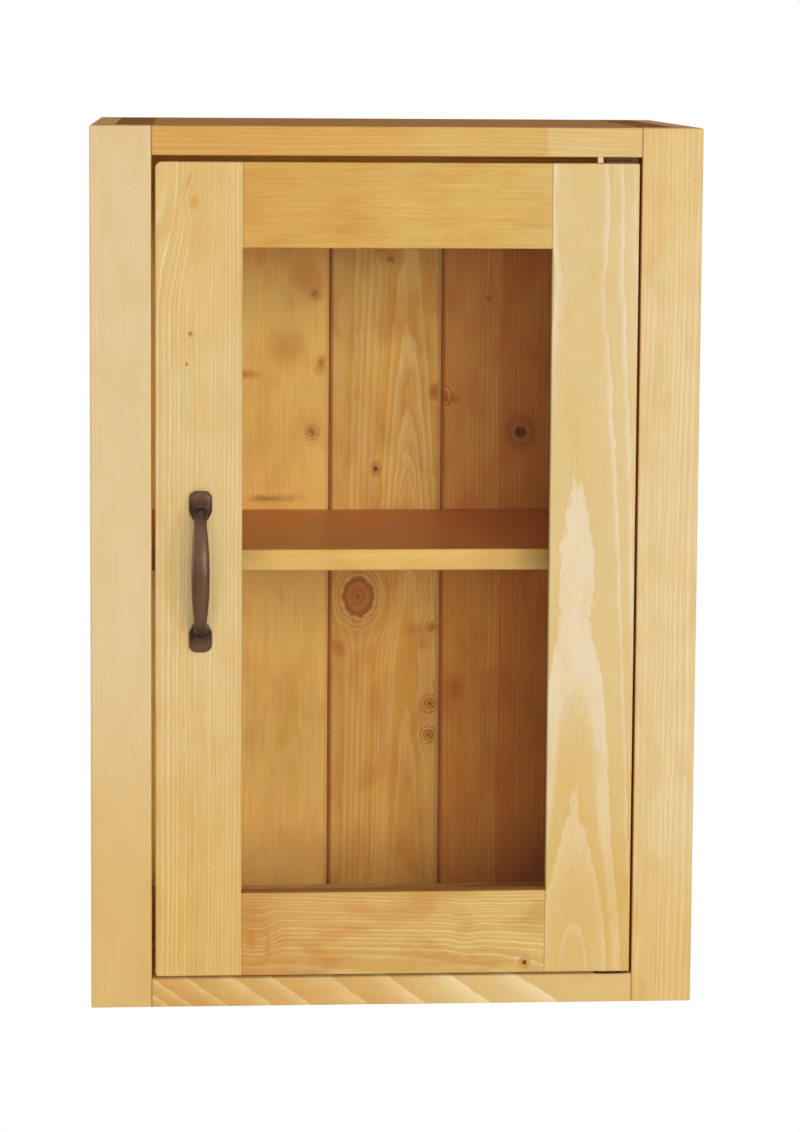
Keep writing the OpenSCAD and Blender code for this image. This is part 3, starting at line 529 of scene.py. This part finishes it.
# Boards, from the front to the back. Places on them are the cabinet's own X, Y and Z in millimetres.


def face_at(node, corner, axis):
    """Where a face of a CAD node lies, in millimetres. Corner 0 is the low one of its box, 1 the high."""
    return round(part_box(node)[corner][axis] / MM, 2)


def joints(left, right):
    """Middle and half length of the grain between the joint lines of two pieces side by side."""
    start, end = face_at(left, 1, 0), face_at(right, 0, 0)
    return (start + end) / 2, (end - start) / 2


FRONT = face_at("front_stile_left", 0, 1)
SIDE = face_at("side_panel_right", 1, 0)
RAIL_FACE = face_at("hanging_rail", 0, 1)
BACK = face_at("back_board_1", 0, 1)
SHELF_TOP = face_at("shelf", 1, 2)
DOOR_JOINTS = joints("door_stile_latch", "door_stile_hinge")
PANEL_JOINTS = joints("front_stile_left", "front_stile_right")

# Visible edges of the five back boards, from left to right
BOARD_EDGES = (-240, -145.25, -43, 59.5, 162, 240)

# The edge tints of the front stiles are painted warm bounce light on their faces inside the gaps round the
# door
timber("waxed spruce, left front stile", ["front_stile_left"], "#DEC290", "#EAD8B6", face=FRONT,
       pith=(-262, 30), ring=1.9, lines=0.45, mottle=0.08, mottle_colour="#D8B172",
       drift_and_shade=[(330, 60, "#F9ECC9")], edge=("#FFD09A", 1), seed=1.3)
timber("waxed spruce, right front stile", ["front_stile_right"], "#DEC18B", "#EFE0BF", face=FRONT,
       pith=(268, 30), lean=(0.01, 0.0), ring=3.4, bend=2.8, ragged=0.5, lines=0.62, fibre=0.06,
       mottle=0.12, mottle_colour="#D4A964", drift_and_shade=[(170, 30, "#FAF0D2"), (560, 680, "#FDF8E8")],
       edge=("#FFC078", -1), seed=4.1)
# The top panel's tint of upward faces is painted shade on the cabinet's top, lit little from above
timber("waxed spruce, top panel", ["top_panel"], "#D9B877", "#E8D2A0", grain="x", face=FRONT,
       pith=(-690, 30), lean=(0.01, 0.0), ring=2.6, bend=2.5, lines=0.6, fibre=0.05, mottle=0.08,
       mottle_colour="#CB9C5A", drift_and_shade=[(50, -40, "#FDF1E1"), (124, 120, "#FBEFD8")], seam=PANEL_JOINTS,
       top_shade="#F4D4CC", shine=0.0, seed=2.2)

# The slanting scallops of the bottom edge: each starts sharply at a radius and fades towards the next.
# The first drift band darkens the whole board apart from its upward faces, and with the stain above 1 this
# paints light onto the upward face inside the cabinet, where shade falls behind the bottom rail.
SCALLOPS = (74.2, 107.5, 142.5, 175.0, 208.5, 230.7, 255.8, 275.8, 288.9, 301.1, 309.1)
scallop_rings = [(62.2, 0.2)]
for radius, following in zip(SCALLOPS, SCALLOPS[1:]):
    fade_end = round(radius + 0.4 * (following - radius), 1)
    scallop_rings += [(radius - 0.4, 0.05), (radius, 1.0), (fade_end, 0.35)]
timber("waxed spruce, bottom panel", ["bottom_panel"], "#D6B06C", "#EDD6A4", grain="x", face=FRONT,
       pith=(-155.6, 46.7), lean=(0.70, 0.0), bend=2.4, ragged=1.0, lines=0.9, mottle=0.08,
       mottle_colour="#CC9B54", seam=PANEL_JOINTS, stain=1.15, top_shade="#FFFFFF", seed=6.4,
       drift_and_shade=[(-400, -399, "#E2E2E2"), (60, -10, "#F9ECDA"), (-120, -165, "#F9F3E8")], rings=scallop_rings)

timber("waxed spruce, left side panel", ["side_panel_left"], "#DBB26C", "#EBCC94", into="x", face=-SIDE,
       pith=(150, 40), lean=(0.01, 0.03), ring=4.4, bend=3.0, ragged=0.5, lines=0.6,
       mottle_colour="#C9954C", top_shade="#FFFFFF", seed=3.7)
timber("waxed spruce, right side panel", ["side_panel_right"], "#DBB26C", "#EBCC94", into="-x",
       face=-SIDE, pith=(-140, 36), lean=(-0.01, -0.03), ring=4.2, bend=3.0, ragged=0.5, lines=0.6,
       mottle_colour="#C9954C", knots=[((SIDE, -190, 520), (6, 9), 0.8)],
       pins=[((SIDE, -95, 200), (3, 3.6), 0.8)], top_shade="#FFFFFF", seed=5.2)

timber("waxed spruce, latch stile of the door", ["door_stile_latch"], "#D9BA7E", "#F0E0C0", face=FRONT,
       pith=(-212, 30), lean=(0.004, 0.0), ring=2.7, bend=1.6, ragged=0.3, lines=0.72, fibre=0.05,
       mottle=0.12, mottle_colour="#D2A65E", drift_and_shade=[(330, 60, "#FBEFCE"), (500, 640, "#FFFAEA")], seed=7.7,
       swells=[((-190, FRONT, 690), (60, 130), (17, 0)), ((-170, FRONT, 672), (9, 26), (-7, 0)),
               ((-200, FRONT, 640), (20, 60), (-6, 0))],
       specks=[((-168, FRONT, 561), (0.7, 0.9), 0.3), ((-171, FRONT, 536), (0.5, 0.6), 0.3)],
       # The first three marks, along the handle and at its feet, follow the handle's outline: orange figure
       # in the wood and painted shadow of the handle
       stains_and_shade=[((-184, FRONT, 366), (7, 48), 0.35, "#D2A050"), ((-177, FRONT, 409), (3, 8), 0.5, "#CC8C44"),
                ((-175, FRONT, 320), (3, 8), 0.5, "#CC8C44"), ((-180, FRONT, 686), (4, 12), 0.85, "#C48F46"),
                ((-172, FRONT, 668), (4, 10), 0.8, "#C8964A"), ((-196, FRONT, 655), (5, 16), 0.5, "#D0A25A"),
                ((-160, FRONT, 640), (16, 12), 0.3, "#CC9B50")])
timber("waxed spruce, hinge stile of the door", ["door_stile_hinge"], "#DABD83", "#E7D4B5", face=FRONT,
       pith=(150, 22), lean=(0.0, 0.045), bend=0.8, ragged=1.0, lines=0.8, fibre=0.045, mottle=0.10,
       mottle_colour="#D9AC5C", drift_and_shade=[(300, 60, "#F8EDCC")], seed=8.1,
       swells=[((150, FRONT, 690), (70, 130), (0, -7.5)), ((152, FRONT, 305), (40, 90), (0, 4.0)),
               ((150, FRONT, -20), (400, 190), (0, -18))],
       rings=[(4, 0.5), (12.0, 0.3), (14.3, 0.9), (14.8, 0.1), (18.0, 0.25), (24.6, 0.45), (29.2, 1.0),
              (29.6, 0.05), (33.5, 0.15), (36.0, 0.9), (41.0, 1.0), (41.4, 0.05), (49.6, 0.15),
              (51.0, 0.6), (52.3, 1.0), (52.7, 0.1), (57.5, 0.2), (59.2, 0.75), (60.5, 1.0), (60.9, 0.2),
              (66, 0.4), (68, 0.9), (68.4, 0.2), (74, 0.5)])
timber("waxed spruce, top rail of the door", ["door_rail_top"], "#D4B069", "#DFBF84", grain="x",
       face=FRONT, pith=(-560, 40), lean=(0.006, 0.0), ring=3.4, bend=2.0, ragged=0.6, lines=0.3,
       fibre=0.09, mottle=0.14, mottle_colour="#C8944C", drift_and_shade=[(20, -45, "#FBF2E7"), (125, 80, "#FFF9E8")],
       seam=DOOR_JOINTS, seed=9.6)
timber("waxed spruce, bottom rail of the door", ["door_rail_bottom"], "#D2AD65", "#EAD49C", grain="x",
       face=FRONT, pith=(-20, 34), lean=(0.0, 0.022), ring=3.2, bend=4.0, ragged=0.5, lines=1.0, fibre=0.06,
       mottle=0.16, mottle_colour="#BC8038", drift_and_shade=[(125, -60, "#FAECE1"), (-70, -120, "#F4E8DD")],
       seam=DOOR_JOINTS, seed=10.9,
       swells=[((-115, FRONT, 60), (34, 30), (6, 5)), ((60, FRONT, 75), (60, 18), (0, 3))],
       stains_and_shade=[((-118, FRONT, 62), (9, 5), 0.65, "#B27430"), ((-104, FRONT, 52), (12, 3), 0.5, "#B27430")],
       specks=[((110, FRONT, 35), (1.9, 1.9), 0.8)])
timber("waxed spruce, standing glazing beads", ["bead_latch", "bead_hinge"], "#D8B06A", "#E8C88F",
       face=FRONT, seed=11.2)
timber("waxed spruce, lying glazing beads", ["bead_top", "bead_bottom"], "#D8B06A", "#E8C88F", grain="x",
       face=FRONT, seed=12.4)

BLOTCH = "#B5702C"
timber("waxed spruce, back board 1", ["back_board_1"], "#E4B058", "#F0C680", face=BACK, pith=(-190, 60),
       lean=(0.0, 0.02), mottle_colour=BLOTCH, groove=BOARD_EDGES[0:2], stain=1.0, seed=13.0)
timber("waxed spruce, back board 2", ["back_board_2"], "#F8C669", "#FFE09C", face=BACK, pith=(-142, 40),
       lean=(0.01, 0.0), ring=2.1, bend=2.0, lines=0.55, fibre=0.07, mottle=0.13, mottle_colour="#DC9A48",
       groove=BOARD_EDGES[1:3], stain=1.06, seed=14.5,
       # The drift bands are painted shade: warmer and darker under the top rail, and toned to the light below
       # the shelf
       drift_and_shade=[(560, 620, "#FFF0E0"), (400, 360, "#FFF8F4"), (320, 260, "#FAFCFF")],
       pins=[((-56, BACK, 571), (3.6, 4.2), 0.8), ((-57, BACK, 445), (4.6, 5.6), 0.8),
             ((-50, BACK, 508), (2.6, 4.6), 0.8)],
       # The first smudge, wide, faint and orange at the shelf's height, is painted warm shade under the shelf
       stains_and_shade=[((-95, BACK, 372), (60, 34), 0.1, "#F0A850"), ((-64, BACK, 585), (16, 20), 0.6, "#DC8E3C"),
                ((-84, BACK, 519), (22, 20), 0.6, "#D88636"), ((-118, BACK, 498), (24, 6), 0.8, "#CC7A30"),
                ((-98, BACK, 384), (26, 5), 0.9, "#B06A2C"), ((-52, BACK, 502), (5, 7), 0.5, "#C87A34")])
timber("waxed spruce, back board 3", ["back_board_3"], "#DDA347", "#F4D08C", face=BACK, pith=(30, 14),
       lean=(0.0, 0.035), bend=0.8, ragged=0.5, lines=0.66, fibre=0.08, mottle=0.14, mottle_colour="#C87C34",
       # The drift band is painted shade, a little warmer and darker in the lower compartment below the shelf
       groove=BOARD_EDGES[2:4], drift_and_shade=[(400, 330, "#FFF6EA")], stain=1.0, seed=15.8,
       rings=[(14, 0.3), (18.5, 0.2), (20.6, 0.7), (20.8, 0.1), (24.2, 0.2), (25.6, 0.9), (25.9, 0.1),
              (27.3, 0.9), (27.5, 0.1), (28.2, 0.85), (28.4, 0.1), (29.1, 0.9), (29.3, 0.1), (30.6, 1.0),
              (30.9, 0.05), (33.2, 1.0), (33.6, 0.05), (36.2, 0.8), (36.5, 0.05), (40.2, 0.15), (40.8, 0.8),
              (41.2, 0.1), (45.8, 0.8), (46.2, 0.1), (50.6, 0.85), (51.1, 0.1), (55.2, 0.8), (55.7, 0.1),
              (60.6, 0.8), (61.1, 0.1), (70, 0.5)],
       knots=[((-16, BACK, 293), (14, 18), 0.85)],
       pins=[((12, BACK, 603), (5, 4), 0.8), ((53, BACK, 265), (4.6, 4.2), 0.8),
             ((51, BACK, 193), (6, 7), 0.8), ((50, BACK, 164), (5.8, 6.4), 0.8)],
       specks=[((0, BACK, 411), (1.9, 2.6), 0.8)],
       stains_and_shade=[((-32, BACK, 246), (9, 13), 0.7, "#B86E2E"), ((40, BACK, 262), (18, 7), 0.5, "#B86E2E"),
                ((2, BACK, 612), (16, 9), 0.6, "#C47A34"), ((53, BACK, 481), (6, 8), 0.7, "#A85E22"),
                ((44, BACK, 250), (10, 10), 0.4, "#B06428")])
timber("waxed spruce, back board 4", ["back_board_4"], "#CE883C", "#E4AC66", face=BACK, pith=(200, 40),
       lean=(-0.02, 0.02), ring=3.2, bend=3.0, lines=0.85, fibre=0.08, mottle=0.18, mottle_colour="#C06C2C",
       groove=BOARD_EDGES[3:5], heart=[(112.5, 115, "#F6E3CE")], stain=1.04, seed=16.6,
       # The drift bands are painted shade: warmer and darker under the top rail, and toned to the light above
       # and below the shelf
       drift_and_shade=[(560, 620, "#FFF4EC"), (360, 400, "#F9FDFF"), (400, 360, "#FBF8E2")],
       specks=[((133, BACK, 445), (5.0, 5.4), 0.85)],
       pins=[((61, BACK, 478), (8, 8), 0.8), ((102, BACK, 567), (4.4, 4.4), 0.8)],
       stains_and_shade=[((74, BACK, 207), (12, 16), 0.8, "#B85A26"), ((133, BACK, 444), (16, 18), 0.55, "#96481C"),
                ((66, BACK, 476), (10, 7), 0.8, "#96501C")])
timber("waxed spruce, back board 5", ["back_board_5"], "#DC9E4C", "#F0BE74", face=BACK, pith=(205, 60),
       lean=(0.0, 0.02), mottle_colour=BLOTCH, groove=BOARD_EDGES[4:6], stain=1.0, seed=17.3)
timber("waxed spruce, hanging rail", ["hanging_rail"], "#DC9E4C", "#F0BE74", grain="x", face=RAIL_FACE,
       pith=(-676, 40), lean=(0.0, 0.01), stain=1.0, seed=18.8)
# The shelf's tint of upward faces is painted shade on its top, orange as light bounced inside the cabinet
timber("waxed spruce, shelf", ["shelf"], "#EAB45A", "#F8D088", grain="x", into="-z", face=-SHELF_TOP,
       pith=(-200, 70), lean=(0.01, 0.01), ring=3.4, bend=2.0, lines=0.45, mottle=0.08,
       mottle_colour="#C07E36", edge=("#F1F4FA", 1), stain=0.90, top_shade="#FFC692", matt=0.0, rough=0.38,
       shine=0.45, seed=19.4)

# Beech: turned to dowels and left unfinished, so pale brown with faint lines
timber("turned beech dowels", ["carcass_dowels", "door_dowels"], "#DDB98A", "#CFA474", grain="x",
       ring=1.6, lines=0.4, seed=20.0)

# Float glass: a pane of soda-lime glass with a trace of green. The eye gets sharp but weak mirror
# images, because the white studio is held back as by dark cloth. Lamps shine straight through it.

material, tree = new_material("clear float glass")
rays = add(tree, "LightPath").node.outputs
shadow = add(tree, "Math", rays["Is Shadow Ray"], rays["Is Diffuse Ray"], operation="MAXIMUM")
pane = add(tree, "BsdfPrincipled", {"Base Color": linear("#FDFFFE"), "Roughness": 0.0, "IOR": 1.52,
                                    "Transmission Weight": 1.0, "Specular Tint": (0.2, 0.2, 0.2, 1)})
through = add(tree, "BsdfTransparent", {"Color": linear("#FDFFFE")})
finish_material(tree, add(tree, "MixShader", shadow, pane, through))
dress(material, "glass_pane")

# Metals and plastics: small marks of plating, casting and moulding. Clouds are this many grits wide,
# and the relief of the grit is in millimetres.

CLOUD = 4
SURFACE_RELIEF = 0.05


def surface(name, nodes, base, stain, rough, metallic=1.0, grit=1.2, share=0.35, shine=0.5, lacquer_and_shade=None):
    """Metal or plastic. Grit is the width in mm of its cloudy marks, which also dull it a little.

    worn gives the heights of the hollows where lacquer gathers and where their shade is painted, their half
    length and their tint."""
    material, tree = new_material(name)
    at = add(tree, "TexCoord", out="Object")
    clouds = add(tree, "TexNoise", {"Vector": at, "Scale": 1 / (grit * CLOUD * MM), "Detail": 4.0,
                                    "Roughness": 0.6})
    marks = add(tree, "MapRange", {"Value": clouds, "From Min": 0.35, "From Max": 0.7, "To Max": share})
    colour = add(tree, "Mix", {0: marks, 6: linear(base), 7: linear(stain)}, data_type="RGBA", out=2)
    if lacquer_and_shade:
        hollows, half_length, tint = lacquer_and_shade
        height = add(tree, "SeparateXYZ", at, out="Z")
        for hollow in hollows:
            away = add(tree, "Math", height, hollow * MM, operation="SUBTRACT")
            away = add(tree, "Math", away, operation="ABSOLUTE")
            # Near each hollow the colour darkens: lacquer gathered there and painted shade of the hollow
            lacquer = add(tree, "MapRange", {"Value": away, "From Max": half_length * MM,
                                             "To Min": 0.9, "To Max": 0.0}, interpolation_type="SMOOTHSTEP")
            colour = add(tree, "Mix", {0: lacquer, 6: colour, 7: linear(tint)}, data_type="RGBA",
                         blend_type="MULTIPLY", out=2)
    fine = add(tree, "TexNoise", {"Vector": at, "Scale": 1 / (grit * MM), "Detail": 2.0})
    gloss = add(tree, "MapRange", {"Value": clouds, "To Min": rough - 0.08, "To Max": rough + 0.08})
    bump = add(tree, "Bump", {"Strength": 0.3, "Distance": SURFACE_RELIEF * MM, "Height": fine})
    finish_material(tree, add(tree, "BsdfPrincipled", {
        "Base Color": colour, "Metallic": metallic, "Roughness": gloss, "Normal": bump,
        "Specular IOR Level": shine}))
    dress(material, *nodes)
    return material


# Cast zinc under a dark brown bronze lacquer: satin, and darker in the hollows between bow and feet, where
# lacquer gathers and their shade is painted
bronze = surface("cast zinc, bronze lacquer", ["handle"], "#664830", "#4E3623", 0.32, metallic=0.35, grit=2.5,
                 share=0.5, lacquer_and_shade=((416.0, 315.5), 12, "#6A4634"))

# Pressed steel under the same lacquer, but matt, so the hinges stay dark inside the gap round the door
surface("pressed steel, bronze lacquer",
        ["top_hinge_door_leaf", "bottom_hinge_door_leaf", "top_hinge_frame_leaf", "bottom_hinge_frame_leaf",
         "hinge_washers"], "#5A3C28", "#4A3022", 0.85, metallic=0.0, shine=0.1)

# Zinc plating leaves bright steel with faint cloudy marks
surface("zinc plated steel",
        ["back_nails", "bead_brads", "handle_screws", "hinge_door_screws", "hinge_frame_screws",
         "catch_poles", "catch_screws", "strike_plate", "strike_screws", "shelf_supports"],
        "#C4C5C6", "#9DA0A3", 0.34)

# A sintered magnet is a dull grey, moulded ABS a satin brown, and moulded nylon a soft cream
surface("sintered ferrite magnet", ["catch_magnet"], "#3B3B3D", "#2B2B2D", 0.6, metallic=0.0, grit=0.5)
surface("moulded brown ABS", ["catch_housing"], "#6A4A32", "#5F422C", 0.45, metallic=0.0, grit=0.6, share=0.4)
surface("moulded cream nylon", ["lift_stop"], "#D4B894", "#C4A680", 0.5, metallic=0.0, grit=0.6)

# Handle: a bow that swells in its middle between two softly squared feet, cast in one piece.
# Sizes are millimetres across, out of the door and up, from the middle of its back. NECK, GRIP and
# ROOT are the width and thickness of the bow.

HANDLE_LOW, HANDLE_HIGH = (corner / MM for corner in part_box("handle"))
HANDLE_LENGTH = HANDLE_HIGH.z - HANDLE_LOW.z
FOOT = (19, 6, 24)
FOOT_CORNER, FOOT_RIM = 6.5, 4.2
TAPER, TAPER_TO = 7, 12
BOW_HALF, BOW_ROOT, BOW_RISE = 50, 3, 20
NECK_AT = 40
NECK, GRIP, ROOT = (10.4, 8.4), (15.2, 10.0), (12.0, 8.4)
STATIONS, SIDES = 36, 28
CASTING_GRID = 0.6
SOFTENING = 14
CLOSE = 0.01


def edges_of(verts):
    return list(dict.fromkeys(edge for vert in verts for edge in vert.link_edges))


def faces_of(verts):
    return list(dict.fromkeys(face for vert in verts for face in vert.link_faces))


def cast_bow(shape):
    """Oval rings from one foot to the other, thin at the necks, full at the grip and flared at the ends."""
    side = Vector((1, 0, 0))
    rings = []
    for i in range(STATIONS + 1):
        turn = math.radians(-90 + 180 * i / STATIONS)
        out_by = BOW_ROOT + BOW_RISE * math.cos(turn)
        up = BOW_HALF * math.sin(turn)
        normal = Vector((0, -BOW_HALF * math.cos(turn), BOW_RISE * math.sin(turn))).normalized()
        swell = 1 - min(abs(up) / NECK_AT, 1) ** 2
        flare = (max(abs(up) - NECK_AT, 0) / (BOW_HALF - NECK_AT)) ** 2
        half = [(neck + (grip - neck) * swell + (root - neck) * flare) / 2
                for neck, grip, root in zip(NECK, GRIP, ROOT)]
        axes = Matrix((side * half[0], normal * half[1], side.cross(normal))).transposed().to_4x4()
        ring = bmesh.ops.create_circle(shape, cap_ends=False, segments=SIDES, radius=1.0,
                                       matrix=Matrix.Translation((0, -out_by, up)) @ axes)["verts"]
        rings.append(edges_of(ring))
    for low, high in zip(rings, rings[1:]):
        bmesh.ops.bridge_loops(shape, edges=low + high)
    for end in (rings[0], rings[-1]):
        bmesh.ops.contextual_create(shape, geom=end)


def cast_foot(shape, end):
    """A foot at the upper end for 1 or the lower for -1, round at its far corners, narrow to the bow."""
    middle = (0, -FOOT[1] / 2, end * (HANDLE_LENGTH - FOOT[2]) / 2)
    block = bmesh.ops.create_cube(
        shape, size=1.0, matrix=Matrix.Translation(middle) @ Matrix.Diagonal((*FOOT, 1)))["verts"]
    taper_at = end * (HANDLE_LENGTH / 2 - FOOT[2] + TAPER)
    cut = bmesh.ops.bisect_plane(shape, geom=[*block, *edges_of(block), *faces_of(block)],
                                 plane_co=(0, 0, taper_at), plane_no=(0, 0, 1))
    for vert in block:
        if abs(vert.co.z) < abs(taper_at):
            vert.co.x *= TAPER_TO / FOOT[0]
    verts = [*block, *(v for v in cut["geom_cut"] if isinstance(v, bmesh.types.BMVert))]
    corners = [e for e in edges_of(verts) if abs(e.verts[0].co.y - e.verts[1].co.y) > 1
               and abs(e.verts[0].co.z) > abs(taper_at) + 1]
    rounded = bmesh.ops.bevel(shape, geom=corners, offset=FOOT_CORNER, segments=6, profile=0.5,
                              affect="EDGES", material=-1)["faces"]
    near = faces_of(v for face in rounded for v in face.verts)
    near = dict.fromkeys(edge for face in near for edge in face.edges)
    rim = [e for e in near if all(abs(v.co.y + FOOT[1]) < CLOSE for v in e.verts)
           and len({round(face.normal.y, 2) for face in e.link_faces}) > 1]
    bmesh.ops.bevel(shape, geom=rim, offset=FOOT_RIM, segments=5, profile=0.5, affect="EDGES", material=-1)


shape = bmesh.new()
cast_bow(shape)
for end in (-1, 1):
    cast_foot(shape, end)
bmesh.ops.recalc_face_normals(shape, faces=shape.faces)
centre = (HANDLE_LOW + HANDLE_HIGH) / 2
place = Matrix.Translation((centre.x, HANDLE_HIGH.y, centre.z))
bmesh.ops.transform(shape, matrix=Matrix.Scale(MM, 4) @ place, verts=shape.verts)
rough_cast = bpy.data.meshes.new("rough cast")
shape.to_mesh(rough_cast)
shape.free()
handle = bpy.data.objects.new("cast_handle", rough_cast)
scene.collection.objects.link(handle)

# The grid fuses bow and feet, the softening rounds the cast edges, and the feet stay flat on the door
fuse = handle.modifiers.new("one casting", "REMESH")
fuse.mode = "VOXEL"
fuse.voxel_size = CASTING_GRID * MM
soften = handle.modifiers.new("soft casting", "SMOOTH")
soften.factor = 0.5
soften.iterations = SOFTENING
cast = bpy.data.meshes.new_from_object(handle.evaluated_get(bpy.context.evaluated_depsgraph_get()))
handle.modifiers.clear()
handle.data = cast
for vertex in cast.vertices:
    vertex.co.y = min(vertex.co.y, HANDLE_HIGH.y * MM)
for polygon in cast.polygons:
    polygon.use_smooth = True
cast.materials.clear()
cast.materials.append(bronze)
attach(handle, "door")
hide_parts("handle")
